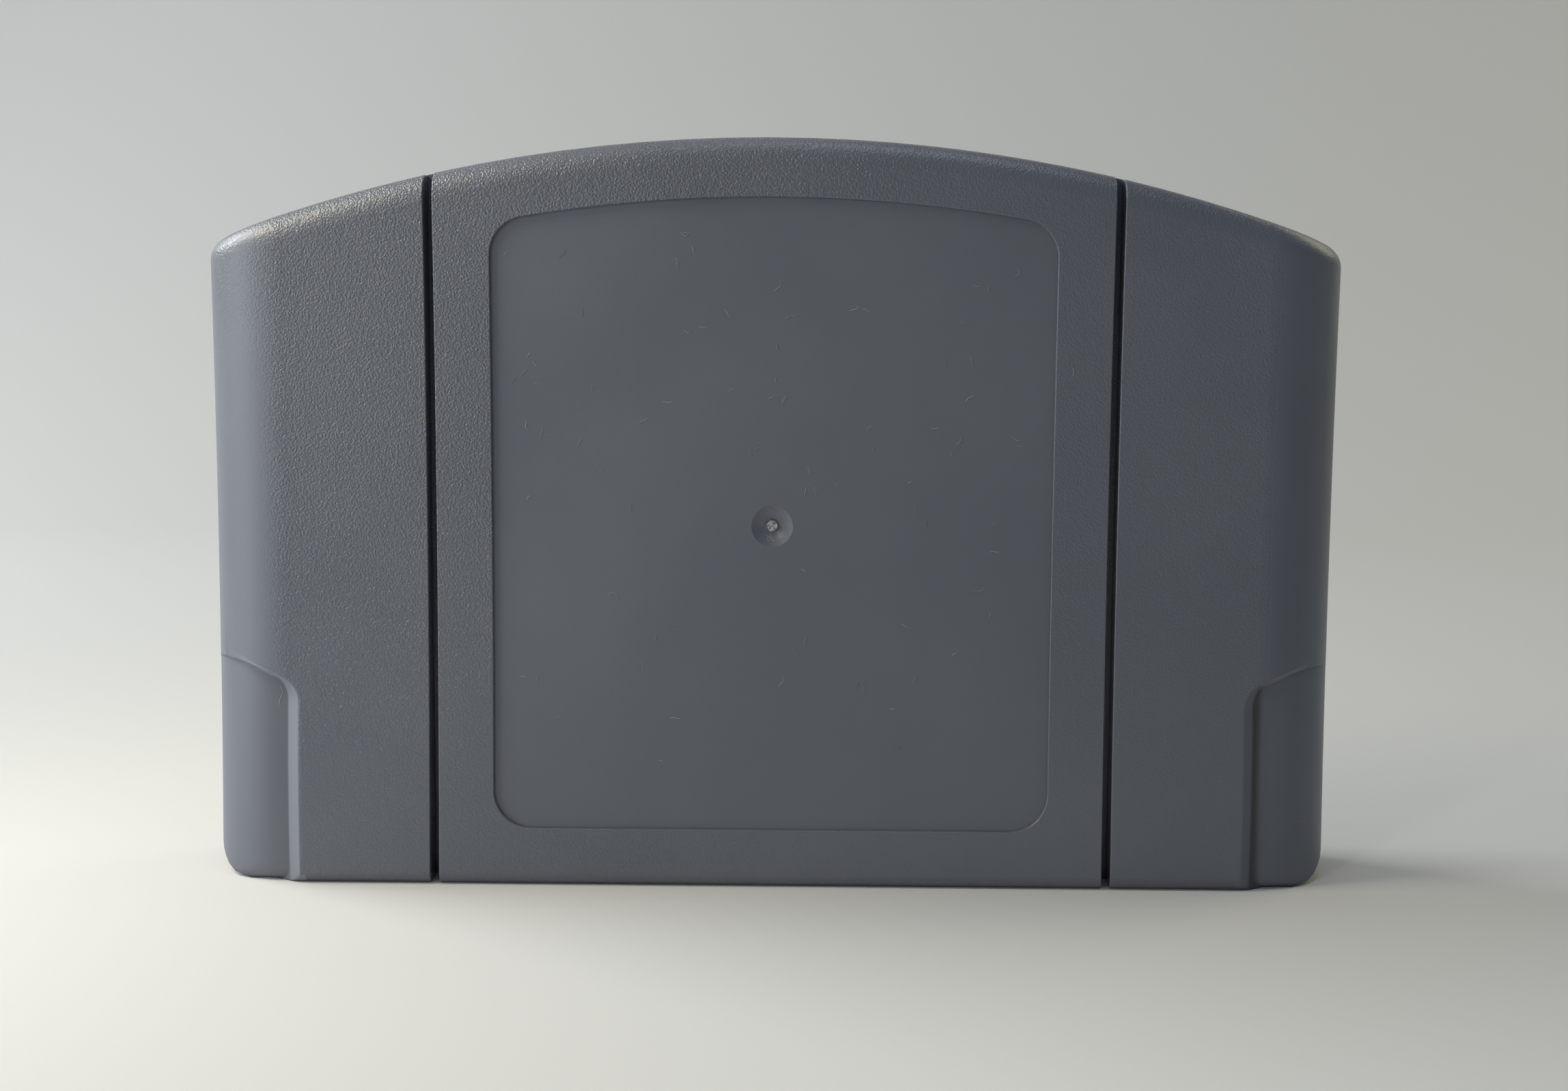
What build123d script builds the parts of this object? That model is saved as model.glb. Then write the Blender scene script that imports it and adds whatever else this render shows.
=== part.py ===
"""Game cartridge: two moulded halves, screwed together round a shielded circuit board.

X runs across the front, Y from front to back, Z up. The origin is the middle of the underside,
in the plane where the two halves meet. The label side faces -Y. All sizes are millimetres.
"""

import os
from math import asin, cos, degrees, radians, sin, sqrt, tan

from build123d import *

# Outer form
cart_width = 116.0
cart_height = 76.0
front_depth = 9.25
rear_depth = 9.25
arch_radius = 157.5
side_radius = 8.5
top_radius = 2.4
bottom_radius = 1.2
corner_radius = 4.2
corner_sweep = 84.0
hollow_depth = 1.6
hollow_rise = 3.0
wall = 2.0
seam_gap = 0.15

# Stepped lower corners
notch_width = 8.3
notch_height = 20.95
notch_depth = 1.05
notch_slope = 1.4
notch_draft = 0.3
notch_run = 3.0
notch_corner_radius = 3.0
notch_rise = 22.0

# Slits beside the middle panel
slit_offset = 34.4
slit_width = 0.9
slit_depth = 4.6
slit_edge_radius = 0.12
slit_rib_wall = 1.2

# Label recess and the gate mark in it
label_width = 56.6
label_margin = 5.9
label_corner_radius = 3.9
label_depth = 0.5
label_edge_radius = 0.12
gate_height = 37.1
gate_diameter = 4.2
gate_depth = 0.6
gate_nub_diameter = 1.1
gate_nub_height = 0.35

# Connector mouth in the underside
mouth_width = 64.8
mouth_depth = 10.0
shroud_height = 12.0
shroud_wall = 1.2

# Case screws, their bosses and wells
screw_offset = 41.5
screw_height = 10.0
screw_shank_diameter = 2.8
screw_length = 7.2
screw_tip = 0.9
screw_head_diameter = 4.6
screw_head_height = 2.2
screw_flutes = 6
screw_flute_diameter = 1.0
screw_seat = 2.2
screw_clearance = 0.1
well_clearance = 0.5
well_wall = 1.3
boss_wall = 1.8
boss_bore = 5.6

# Snap hooks at the crown
hook_angle = 7.0
hook_width = 9.0
hook_thickness = 1.2
hook_root = 4.0
hook_reach = 3.4
hook_barb = 0.5
hook_barb_length = 1.0
hook_clearance = 0.2

# Keying slots in the rear lower edge
key_offset = 27.0
key_width = 7.0
key_height = 9.0
key_depth = 1.0

# Circuit board and its edge contacts
board_thickness = 1.2
board_width = 73.0
board_shoulder = 13.0
board_top_gap = 20.0
board_corner_radius = 1.5
tongue_width = 63.0
tongue_end = 4.0
tongue_chamfer = 0.4
tongue_clearance = 0.3
contact_count = 25
contact_pitch = 2.5
contact_width = 1.6
contact_length = 7.5
contact_thickness = 0.05
contact_end_gap = 0.6
peg_diameter = 2.0
peg_clearance = 0.1
peg_proud = 0.8
peg_height = 35.0
pad_width = 1.4
pad_length = 10.0
pad_spacing = 24.0

# Folded shields and the screws that clamp them
shield_width = 61.0
shield_board_gap = 2.0
shield_thickness = 0.4
shield_rise = 3.3
shield_corner_radius = 1.6
shield_screw_offset = 26.0
shield_screw_drop = 21.5
shield_cup_diameter = 6.4
shield_screw_diameter = 2.0
shield_screw_length = 3.4
shield_head_diameter = 3.8
shield_head_height = 1.3
shield_recess_width = 0.6
shield_recess_span = 2.0
shield_recess_depth = 0.7
vent_count = 6
vent_width = 1.2
vent_length = 7.0
vent_pitch = 4.0
vent_drop = 6.0

# Chips in gull-wing packages
lead_pitch = 1.27
lead_width = 0.42
lead_thickness = 0.2
lead_span = 1.6
lead_standoff = 0.1
rom_length = 28.4
rom_width = 12.6
rom_height = 2.3
rom_leads_per_side = 22
rom_drop = 12.0
lockout_length = 12.2
lockout_width = 7.4
lockout_height = 2.1
lockout_leads_per_side = 9
lockout_offset = -14.0
lockout_rise = 10.0
save_length = 5.0
save_width = 3.9
save_height = 1.5
save_leads_per_side = 4
save_offset = 2.0
save_rise = 10.0
chip_edge = 0.3

# Small parts soldered to the board
capacitor_length = 2.0
capacitor_width = 1.25
capacitor_height = 0.8
capacitor_end = 0.4
capacitor_count = 4
capacitor_pitch = 4.5
capacitor_offset = 16.5
capacitor_rise = 5.5
resistor_length = 1.6
resistor_width = 0.8
resistor_height = 0.5
resistor_end = 0.3
resistor_count = 4
resistor_pitch = 4.5
resistor_offset = 16.5
resistor_rise = 8.5
smoothing_length = 6.0
smoothing_width = 3.2
smoothing_height = 2.5
smoothing_end = 1.0
smoothing_offset = 13.0
smoothing_rise = 12.5

# Worked out from the sizes above
half_width = cart_width / 2
arch_centre = cart_height - arch_radius
corner_centre = half_width - corner_radius * sin(radians(corner_sweep))
hollow_height = cart_height / 2 + hollow_rise
hollow_radius = (hollow_height**2 + hollow_depth**2) / (2 * hollow_depth)
hollow_axis = -front_depth + hollow_depth - hollow_radius
board_face = board_thickness / 2
board_top = cart_height - board_top_gap
mouth_half = mouth_depth / 2
boss_radius = screw_shank_diameter / 2 + screw_clearance + boss_wall
well_radius = screw_head_diameter / 2 + well_clearance
shield_height = board_top - board_shoulder - 2 * shield_board_gap
slit_floor = front_depth - slit_depth
slit_rib_face = slit_floor - slit_rib_wall
slit_rib_width = slit_width + 2 * slit_rib_wall
hook_radius = arch_radius - wall - hook_clearance
hook_pocket_width = hook_width + 2 * hook_clearance
past = 2 * (front_depth + rear_depth)
both_slits = [(-slit_offset, 0), (slit_offset, 0)]
both_screws = [(-screw_offset, screw_height), (screw_offset, screw_height)]
both_pegs = [(-slit_offset, peg_height), (slit_offset, peg_height)]
shield_screw_height = board_top - shield_screw_drop
both_shield_screws = [(side * shield_screw_offset, shield_screw_height) for side in (-1, 1)]


def outline(inset):
    """Outline seen from the front: flat base, rounded lower corners, straight sides, arched top."""
    side = half_width - inset
    radius = corner_radius - inset
    turn = degrees(asin((side - corner_centre) / radius))
    shoulder = arch_centre + sqrt((arch_radius - inset) ** 2 - side**2)
    with BuildSketch() as sketch:
        with BuildLine():
            Line((-corner_centre, inset), (corner_centre, inset))
            right = JernArc((corner_centre, inset), (1, 0), radius, turn)
            left = JernArc((-corner_centre, inset), (-1, 0), radius, -turn)
            Line(right @ 1, (side, shoulder))
            Line(left @ 1, (-side, shoulder))
            ThreePointArc((side, shoulder), (0, cart_height - inset), (-side, shoulder))
        make_face()
    return sketch.sketch


def notch(inward, upward):
    """Lower corner beyond the step, its upright edge moved inward and its slanted edge upward."""
    foot = half_width - notch_width
    inner = foot - inward
    slope = tan(radians(notch_rise))
    corner = (inner, notch_height + upward - inward * slope)
    reach = (foot + half_width, notch_height + upward + half_width * slope)
    with BuildSketch() as sketch:
        with BuildLine():
            Polyline((inner, -cart_height), corner, reach, (reach[0], -cart_height), close=True)
        make_face()
        inner_corner = sketch.vertices().sort_by_distance((*corner, 0))[0]
        fillet(inner_corner, notch_corner_radius)
    return sketch.sketch


def hollow_face(height):
    """Y of the hollow front face at a height."""
    return hollow_axis + sqrt(hollow_radius**2 - (height - hollow_height) ** 2)


gate_floor = hollow_face(gate_height) + label_depth
gate_sphere = ((gate_diameter / 2) ** 2 + gate_depth**2) / (2 * gate_depth)


def half_blank(depth, hollow, inset=0.0):
    """Half of the closed form, from the parting plane to its face at -Y, sides fully rounded."""
    face = depth - inset
    with BuildPart() as blank:
        with BuildSketch(Plane.XZ.offset(-side_radius)):
            with Locations((0, cart_height / 2)):
                Rectangle(cart_width - 2 * inset, 2 * cart_height)
        extrude(amount=face + side_radius)
        if hollow:
            with Locations((0, hollow_axis, hollow_height)):
                Cylinder(hollow_radius + inset, 2 * cart_width, rotation=(0, 90, 0), mode=Mode.SUBTRACT)
        front_edges = blank.faces().sort_by(Axis.Y)[0].edges().sort_by(Axis.X)
        fillet([front_edges[0], front_edges[-1]], side_radius - inset)
        with BuildSketch(Plane.XZ):
            add(outline(inset))
        extrude(amount=past, mode=Mode.INTERSECT)
    return blank.part


def soften_rims(blank):
    """Round the crown and the foot of a half, all along its outer face."""
    with BuildPart() as soft:
        add(blank)
        crown = soft.faces().sort_by(Axis.Z)[-1]
        fillet(crown.edges().filter_by(lambda edge: edge.center().Y < -seam_gap), top_radius)
        under = soft.faces().filter_by(lambda face: face.normal_at(face.center()).Z < -0.5)
        rim = under.edges().filter_by(lambda edge: edge.center().Y < -seam_gap)
        foot = rim.filter_by(lambda edge: abs(abs(edge.center().X) - corner_centre) > seam_gap)
        fillet(foot, bottom_radius)
    return soft.part


def stepped(blank, lean, surface, height):
    """Step both lower corners back: a sloped wall round each, down to the same form moved inward."""
    low = blank.moved(Location((0, notch_depth, 0)))
    face = Plane((0, surface, height), x_dir=(1, 0, 0), z_dir=(0, -cos(lean), sin(lean)))
    with BuildPart() as corner:
        for near, far in ((-1, notch_run), (notch_run, 1 + front_depth / notch_depth)):
            for level in (near, far):
                with BuildSketch(face.offset(-level * notch_depth)):
                    with Locations((0, -height)):
                        add(notch((1 - min(level, notch_run)) * notch_slope, (1 - level) * notch_draft))
            loft()
        add(low, mode=Mode.SUBTRACT)
    with BuildPart() as cut:
        add(blank)
        for cutter in (corner.part, corner.part.mirror(Plane.YZ)):
            add(cutter, mode=Mode.SUBTRACT)
    return cut.part


front_main = soften_rims(half_blank(front_depth, hollow=True))
rear_main = soften_rims(half_blank(rear_depth, hollow=False))
band_height = notch_height / 2
front_lean = asin((hollow_height - band_height) / hollow_radius)
front_outer = stepped(front_main, front_lean, hollow_face(band_height), band_height)
rear_outer = stepped(rear_main, 0, -rear_depth, band_height).mirror(Plane.XZ)

# Label recess: a sunk panel whose top follows the crown, its floor hollow like the face round it
with BuildPart() as label_cut:
    with BuildSketch(Plane.XZ) as label:
        with Locations((0, label_margin)):
            Rectangle(label_width, cart_height, align=(Align.CENTER, Align.MIN))
        with Locations((0, arch_centre)):
            Circle(arch_radius - label_margin, mode=Mode.INTERSECT)
        fillet(label.vertices(), label_corner_radius)
    extrude(amount=past)
    with Locations((0, hollow_axis, hollow_height)):
        Cylinder(hollow_radius + label_depth, 2 * cart_width, rotation=(0, 90, 0), mode=Mode.INTERSECT)

# Shroud round the contact tongue, one half on each shell: a pocket with a slot in its end wall
shroud_length = mouth_width + 2 * shroud_wall
tongue_slot_width = tongue_width + 2 * tongue_clearance
with BuildPart() as shroud:
    with BuildSketch(Plane.XY):
        Rectangle(shroud_length, mouth_half + shroud_wall, align=(Align.CENTER, Align.MAX))
    extrude(amount=shroud_height)
    with BuildSketch(Plane.XY):
        Rectangle(mouth_width, mouth_half, align=(Align.CENTER, Align.MAX))
    extrude(amount=shroud_height - shroud_wall, mode=Mode.SUBTRACT)
    with BuildSketch(Plane.XY):
        Rectangle(tongue_slot_width, board_face + tongue_clearance, align=(Align.CENTER, Align.MAX))
    extrude(amount=shroud_height, mode=Mode.SUBTRACT)

# Room inside the front half: the inner form less the slit ribs, board pads, bosses and shroud
with BuildPart() as front_room:
    add(half_blank(front_depth, hollow=True, inset=wall))
    with BuildSketch(Plane.XZ.offset(slit_rib_face)):
        with Locations(*both_slits):
            Rectangle(slit_rib_width, 2 * cart_height)
    extrude(amount=past, mode=Mode.SUBTRACT)
    with BuildSketch(Plane.XZ.offset(board_face)):
        with Locations((0, peg_height)):
            with GridLocations(2 * slit_offset, pad_spacing, 2, 2):
                Rectangle(pad_width, pad_length)
    extrude(amount=past, mode=Mode.SUBTRACT)
    with BuildSketch(Plane.XZ):
        with Locations(*both_screws):
            Circle(boss_radius)
    extrude(amount=past, mode=Mode.SUBTRACT)
    add(shroud.part, mode=Mode.SUBTRACT)

# Front shell, moulded in one piece
with BuildPart() as front_shell:
    add(front_outer)
    add(label_cut.part, mode=Mode.SUBTRACT)
    face = front_shell.faces().filter_by(lambda face: len(face.inner_wires()) > 0)[0]
    fillet(face.inner_wires()[0].edges(), label_edge_radius)
    with BuildSketch(Plane.XZ.offset(slit_floor)):
        with Locations(*both_slits):
            Rectangle(slit_width, 2 * cart_height)
    extrude(amount=past, mode=Mode.SUBTRACT)
    slit_rims = front_shell.edges().filter_by(
        lambda edge: abs(abs(abs(edge.center().X) - slit_offset) - slit_width / 2) < 1e-4
        and edge.center().Y < -slit_floor - 1e-4
    )
    fillet(slit_rims, slit_edge_radius)
    with Locations((0, gate_floor + gate_depth - gate_sphere, gate_height)):
        Sphere(gate_sphere, mode=Mode.SUBTRACT)
    with BuildSketch(Plane.XZ.offset(-gate_floor - gate_depth)):
        with Locations((0, gate_height)):
            Circle(gate_nub_diameter / 2)
    extrude(amount=gate_nub_height)
    add(front_room.part, mode=Mode.SUBTRACT)
    with BuildSketch(Plane.XY):
        Rectangle(mouth_width, mouth_half, align=(Align.CENTER, Align.MAX))
    extrude(amount=wall, mode=Mode.SUBTRACT)
    with BuildSketch(Plane.XZ.offset(-seam_gap)):
        with Locations(*both_screws):
            Circle(boss_radius)
    extrude(amount=seam_gap)
    with BuildSketch(Plane.XZ.offset(-seam_gap)):
        with Locations(*both_screws):
            Circle(screw_shank_diameter / 2 + screw_clearance)
    extrude(amount=seam_gap + boss_bore, mode=Mode.SUBTRACT)
    with BuildSketch(Plane.XZ.offset(-board_face - peg_proud)):
        with Locations(*both_pegs):
            Circle(peg_diameter / 2)
    extrude(amount=board_face + peg_proud + slit_rib_face)
    with BuildSketch(Plane.XZ.offset(-hook_reach)):
        with Locations((0, arch_centre)):
            with PolarLocations(hook_radius, 2, 90 - hook_angle, 2 * hook_angle, endpoint=True):
                Rectangle(hook_thickness, hook_width, align=(Align.MAX, Align.CENTER))
    extrude(amount=hook_reach + hook_root)
    with BuildSketch(Plane.XZ.offset(-hook_reach)):
        with Locations((0, arch_centre)):
            with PolarLocations(hook_radius, 2, 90 - hook_angle, 2 * hook_angle, endpoint=True):
                Rectangle(hook_barb, hook_width, align=(Align.MIN, Align.CENTER))
    extrude(amount=hook_barb_length)
    with BuildSketch(Plane.XZ):
        with Locations((0, arch_centre)):
            with PolarLocations(hook_radius, 2, 90 - hook_angle, 2 * hook_angle, endpoint=True):
                Rectangle(2 * hook_clearance + hook_thickness, hook_width)
    extrude(amount=hook_root)

# Room inside the rear half: the inner form less the board pads, screw wells and shroud
with BuildPart() as rear_room:
    add(half_blank(rear_depth, hollow=False, inset=wall).mirror(Plane.XZ))
    with BuildSketch(Plane.XZ.offset(-board_face)):
        with Locations((0, peg_height)):
            with GridLocations(2 * slit_offset, pad_spacing, 2, 2):
                Rectangle(pad_width, pad_length)
    extrude(amount=-past, mode=Mode.SUBTRACT)
    with BuildSketch(Plane.XZ):
        with Locations(*both_screws):
            Circle(well_radius + well_wall)
    extrude(amount=-past, mode=Mode.SUBTRACT)
    add(shroud.part.mirror(Plane.XZ), mode=Mode.SUBTRACT)

# Rear shell, moulded in one piece
with BuildPart() as rear_shell:
    add(rear_outer)
    with BuildSketch(Plane.XZ.offset(key_depth - rear_depth)):
        with Locations((-key_offset, 0), (key_offset, 0)):
            Rectangle(key_width, 2 * key_height)
    extrude(amount=-past, mode=Mode.SUBTRACT)
    add(rear_room.part, mode=Mode.SUBTRACT)
    with BuildSketch(Plane.XY):
        Rectangle(mouth_width, mouth_half, align=(Align.CENTER, Align.MIN))
    extrude(amount=wall, mode=Mode.SUBTRACT)
    split(bisect_by=Plane.XZ.offset(-seam_gap), keep=Keep.BOTTOM)
    with BuildSketch(Plane.XZ.offset(-screw_seat)):
        with Locations(*both_screws):
            Circle(well_radius)
    extrude(amount=-past, mode=Mode.SUBTRACT)
    with BuildSketch(Plane.XZ):
        with Locations(*both_screws):
            Circle(screw_shank_diameter / 2 + screw_clearance)
    extrude(amount=-past, mode=Mode.SUBTRACT)
    with BuildSketch(Plane.XZ.offset(-hook_reach - hook_clearance)):
        with Locations((0, arch_centre)):
            with PolarLocations(hook_radius, 2, 90 - hook_angle, 2 * hook_angle, endpoint=True):
                Rectangle(hook_barb + hook_clearance, hook_pocket_width, align=(Align.MIN, Align.CENTER))
    extrude(amount=hook_barb_length + 2 * hook_clearance, mode=Mode.SUBTRACT)

# Case screws, entered from the rear, with fluted round heads
with BuildPart() as case_screws:
    with BuildSketch(Plane.XZ.offset(-screw_seat)):
        with Locations(*both_screws):
            Circle(screw_shank_diameter / 2)
    extrude(amount=screw_length)
    tips = case_screws.faces().group_by(Axis.Y)[0]
    chamfer(tips.edges(), screw_tip)
    with BuildSketch(Plane.XZ.offset(-screw_seat)):
        with Locations(*both_screws):
            Circle(screw_head_diameter / 2)
    extrude(amount=-screw_head_height)
    with BuildSketch(Plane.XZ.offset(-screw_seat)):
        with Locations(*both_screws):
            with PolarLocations(screw_head_diameter / 2, screw_flutes):
                Circle(screw_flute_diameter / 2)
    extrude(amount=-screw_head_height, mode=Mode.SUBTRACT)

# Circuit board with its contact tongue, peg holes and shield screw holes
with BuildPart() as circuit_board:
    with BuildSketch(Plane.XZ.offset(board_face)) as board:
        with Locations((0, board_shoulder)):
            Rectangle(board_width, board_top - board_shoulder, align=(Align.CENTER, Align.MIN))
        fillet(board.vertices(), board_corner_radius)
        with Locations((0, tongue_end)):
            Rectangle(tongue_width, board_shoulder - tongue_end, align=(Align.CENTER, Align.MIN))
        with Locations(*both_pegs):
            Circle(peg_diameter / 2 + peg_clearance, mode=Mode.SUBTRACT)
        with Locations(*both_shield_screws):
            Circle(shield_screw_diameter / 2 + screw_clearance, mode=Mode.SUBTRACT)
    extrude(amount=-board_thickness)
    tongue_tip = circuit_board.faces().sort_by(Axis.Z)[0]
    chamfer(tongue_tip.edges().filter_by(Axis.X), tongue_chamfer)

# Edge contacts, one row on each face of the tongue
with BuildPart() as front_contacts:
    with BuildSketch(Plane.XZ.offset(board_face)):
        with Locations((0, tongue_end + contact_end_gap + contact_length / 2)):
            with GridLocations(contact_pitch, contact_length, contact_count, 1):
                Rectangle(contact_width, contact_length)
    extrude(amount=contact_thickness)

with BuildPart() as rear_contacts:
    add(front_contacts.part.mirror(Plane.XZ))


def shield():
    """Tray folded from tinned sheet, open to the board, with a cup pressed in at each screw."""
    with BuildPart() as tray:
        with BuildSketch(Plane.XZ.offset(board_face)):
            with Locations((0, (board_top + board_shoulder) / 2)):
                RectangleRounded(shield_width, shield_height, shield_corner_radius)
        extrude(amount=shield_rise)
        with BuildSketch(Plane.XZ.offset(board_face)):
            with Locations((0, (board_top + board_shoulder) / 2)):
                RectangleRounded(
                    shield_width - 2 * shield_thickness,
                    shield_height - 2 * shield_thickness,
                    shield_corner_radius - shield_thickness,
                )
        extrude(amount=shield_rise - shield_thickness, mode=Mode.SUBTRACT)
        with BuildSketch(Plane.XZ.offset(board_face)):
            with Locations(*both_shield_screws):
                Circle(shield_cup_diameter / 2)
        extrude(amount=shield_rise)
        with BuildSketch(Plane.XZ.offset(board_face + shield_thickness)):
            with Locations(*both_shield_screws):
                Circle(shield_cup_diameter / 2 - shield_thickness)
        extrude(amount=shield_rise, mode=Mode.SUBTRACT)
        with BuildSketch(Plane.XZ.offset(board_face)):
            with Locations(*both_shield_screws):
                Circle(shield_screw_diameter / 2 + screw_clearance)
        extrude(amount=shield_rise, mode=Mode.SUBTRACT)
        with BuildSketch(Plane.XZ.offset(board_face + shield_rise)):
            with Locations((0, board_top - shield_board_gap - vent_drop)):
                with GridLocations(vent_pitch, vent_length, vent_count, 1):
                    SlotOverall(vent_length, vent_width, rotation=90)
        extrude(amount=-shield_thickness, mode=Mode.SUBTRACT)
    return tray.part


with BuildPart() as front_shield:
    add(shield())

with BuildPart() as rear_shield:
    add(shield().mirror(Plane.XZ))

# Shield screws, entered from the front, with cross recesses
with BuildPart() as shield_screws:
    with BuildSketch(Plane.XZ.offset(board_face + shield_thickness)):
        with Locations(*both_shield_screws):
            Circle(shield_screw_diameter / 2)
    extrude(amount=-shield_screw_length)
    with BuildSketch(Plane.XZ.offset(board_face + shield_thickness)):
        with Locations(*both_shield_screws):
            Circle(shield_head_diameter / 2)
    extrude(amount=shield_head_height)
    with BuildSketch(Plane.XZ.offset(board_face + shield_thickness + shield_head_height)):
        with Locations(*both_shield_screws):
            Rectangle(shield_recess_width, shield_recess_span)
            Rectangle(shield_recess_span, shield_recess_width)
    extrude(amount=-shield_recess_depth, mode=Mode.SUBTRACT)


def chip_body(length, width, height, across, up):
    """Moulded chip package on the front of the board, its upper edges bevelled."""
    with BuildPart() as body:
        with BuildSketch(Plane.XZ.offset(board_face + lead_standoff)):
            with Locations((across, up)):
                Rectangle(length, width)
        extrude(amount=height)
        chamfer(body.faces().sort_by(Axis.Y)[0].edges(), chip_edge)
    return body.part


def gull_leads(count, width, height, across, up):
    """Two rows of gull-wing leads: out of the package side, down to the board and out to a foot."""
    mid = lead_standoff + height / 2
    half = lead_thickness / 2
    knee = lead_span / 3
    first = across - lead_pitch * (count - 1) / 2
    rows = [
        Plane((first + i * lead_pitch, -board_face, up + width / 2), x_dir=(0, 0, 1), z_dir=(1, 0, 0))
        for i in range(count)
    ]
    with BuildPart() as leads:
        with BuildSketch(*rows):
            with BuildLine():
                Polyline(
                    (0, mid - half),
                    (0, mid + half),
                    (knee, mid + half),
                    (knee + lead_thickness, lead_thickness),
                    (lead_span, lead_thickness),
                    (lead_span, 0),
                    (knee, 0),
                    (knee - lead_thickness, mid - half),
                    close=True,
                )
            make_face()
        extrude(amount=lead_width / 2, both=True)
        mirror(about=Plane.XY.offset(up))
    return leads.part


rom_place = (0, board_top - rom_drop)
lockout_place = (lockout_offset, board_shoulder + lockout_rise)
save_place = (save_offset, board_shoulder + save_rise)

with BuildPart() as rom_body:
    add(chip_body(rom_length, rom_width, rom_height, *rom_place))

with BuildPart() as rom_leads:
    add(gull_leads(rom_leads_per_side, rom_width, rom_height, *rom_place))

with BuildPart() as lockout_body:
    add(chip_body(lockout_length, lockout_width, lockout_height, *lockout_place))

with BuildPart() as lockout_leads:
    add(gull_leads(lockout_leads_per_side, lockout_width, lockout_height, *lockout_place))

with BuildPart() as save_memory_body:
    add(chip_body(save_length, save_width, save_height, *save_place))

with BuildPart() as save_memory_leads:
    add(gull_leads(save_leads_per_side, save_width, save_height, *save_place))


def mounted_row(width, length, height, count, pitch, across, up):
    """Row of blocks soldered to the front of the board."""
    with BuildPart() as row:
        with BuildSketch(Plane.XZ.offset(board_face)):
            with Locations((across, up)):
                with GridLocations(pitch, length, count, 1):
                    Rectangle(width, length)
        extrude(amount=height)
    return row.part


def mounted_ends(width, end, length, height, count, pitch, across, up):
    """Metal ends above and below each block of such a row."""
    with BuildPart() as ends:
        with BuildSketch(Plane.XZ.offset(board_face)):
            with Locations((across, up)):
                with GridLocations(pitch, length - end, count, 2):
                    Rectangle(width, end)
        extrude(amount=height)
    return ends.part


capacitor_place = (capacitor_offset, board_shoulder + capacitor_rise)
capacitor_row = (capacitor_height, capacitor_count, capacitor_pitch, *capacitor_place)
resistor_place = (resistor_offset, board_shoulder + resistor_rise)
resistor_row = (resistor_height, resistor_count, resistor_pitch, *resistor_place)
smoothing_place = (smoothing_offset, board_shoulder + smoothing_rise)
smoothing_row = (smoothing_height, 1, smoothing_length, *smoothing_place)

with BuildPart() as capacitor_bodies:
    add(mounted_row(capacitor_width, capacitor_length - 2 * capacitor_end, *capacitor_row))

with BuildPart() as capacitor_ends:
    add(mounted_ends(capacitor_width, capacitor_end, capacitor_length, *capacitor_row))

with BuildPart() as resistor_bodies:
    add(mounted_row(resistor_width, resistor_length - 2 * resistor_end, *resistor_row))

with BuildPart() as resistor_ends:
    add(mounted_ends(resistor_width, resistor_end, resistor_length, *resistor_row))

with BuildPart() as smoothing_capacitor:
    add(mounted_row(smoothing_width, smoothing_length - 2 * smoothing_end, *smoothing_row))

with BuildPart() as smoothing_capacitor_ends:
    add(mounted_ends(smoothing_width, smoothing_end, smoothing_length, *smoothing_row))

pieces = {
    "front_shell": front_shell,
    "rear_shell": rear_shell,
    "case_screws": case_screws,
    "circuit_board": circuit_board,
    "front_contacts": front_contacts,
    "rear_contacts": rear_contacts,
    "front_shield": front_shield,
    "rear_shield": rear_shield,
    "shield_screws": shield_screws,
    "rom_body": rom_body,
    "rom_leads": rom_leads,
    "lockout_body": lockout_body,
    "lockout_leads": lockout_leads,
    "save_memory_body": save_memory_body,
    "save_memory_leads": save_memory_leads,
    "capacitor_bodies": capacitor_bodies,
    "capacitor_ends": capacitor_ends,
    "resistor_bodies": resistor_bodies,
    "resistor_ends": resistor_ends,
    "smoothing_capacitor": smoothing_capacitor,
    "smoothing_capacitor_ends": smoothing_capacitor_ends,
}

os.makedirs("parts", exist_ok=True)
for name, piece in pieces.items():
    piece.part.label = name
    export_step(piece.part, f"parts/{name}.step")
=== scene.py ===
from math import cos, radians, sin

import bpy
import numpy as np
from mathutils import Matrix, Vector


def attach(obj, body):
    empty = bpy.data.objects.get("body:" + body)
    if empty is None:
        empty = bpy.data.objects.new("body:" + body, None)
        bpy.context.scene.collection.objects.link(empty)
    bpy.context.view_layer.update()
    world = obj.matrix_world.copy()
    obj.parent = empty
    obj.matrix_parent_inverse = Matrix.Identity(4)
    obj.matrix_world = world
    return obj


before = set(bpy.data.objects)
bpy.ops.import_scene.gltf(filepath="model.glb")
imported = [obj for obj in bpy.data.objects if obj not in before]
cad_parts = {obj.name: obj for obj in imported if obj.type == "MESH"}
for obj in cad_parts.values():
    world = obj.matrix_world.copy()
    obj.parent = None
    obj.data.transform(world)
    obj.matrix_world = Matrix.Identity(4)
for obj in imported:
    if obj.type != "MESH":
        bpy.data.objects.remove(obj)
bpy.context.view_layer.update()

# Housing halves
# Two grey shells, injection moulded in high-impact styrene and closed by two screws from the rear.
# The mould was spark eroded, so the outside has a pebbled grain. It fades on the rounded sides and the
# stepped corners, and the label recess is satin.


def new_finish(name):
    """Empty material with one Principled shader joined to its output."""
    finish = bpy.data.materials.new(name)
    finish.use_nodes = True
    tree = finish.node_tree
    tree.nodes.clear()
    output = tree.nodes.new("ShaderNodeOutputMaterial")
    shader = tree.nodes.new("ShaderNodeBsdfPrincipled")
    tree.links.new(shader.outputs["BSDF"], output.inputs["Surface"])
    return finish, tree, shader


def place(tree, kind, inputs=None, **settings):
    """Adds a node, sets its options, and fills its inputs with values or joins them to sockets."""
    node = tree.nodes.new(kind)
    for option, value in settings.items():
        setattr(node, option, value)
    for socket, value in (inputs or {}).items():
        if isinstance(value, bpy.types.NodeSocket):
            tree.links.new(value, node.inputs[socket])
        else:
            node.inputs[socket].default_value = value
    return node


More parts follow.
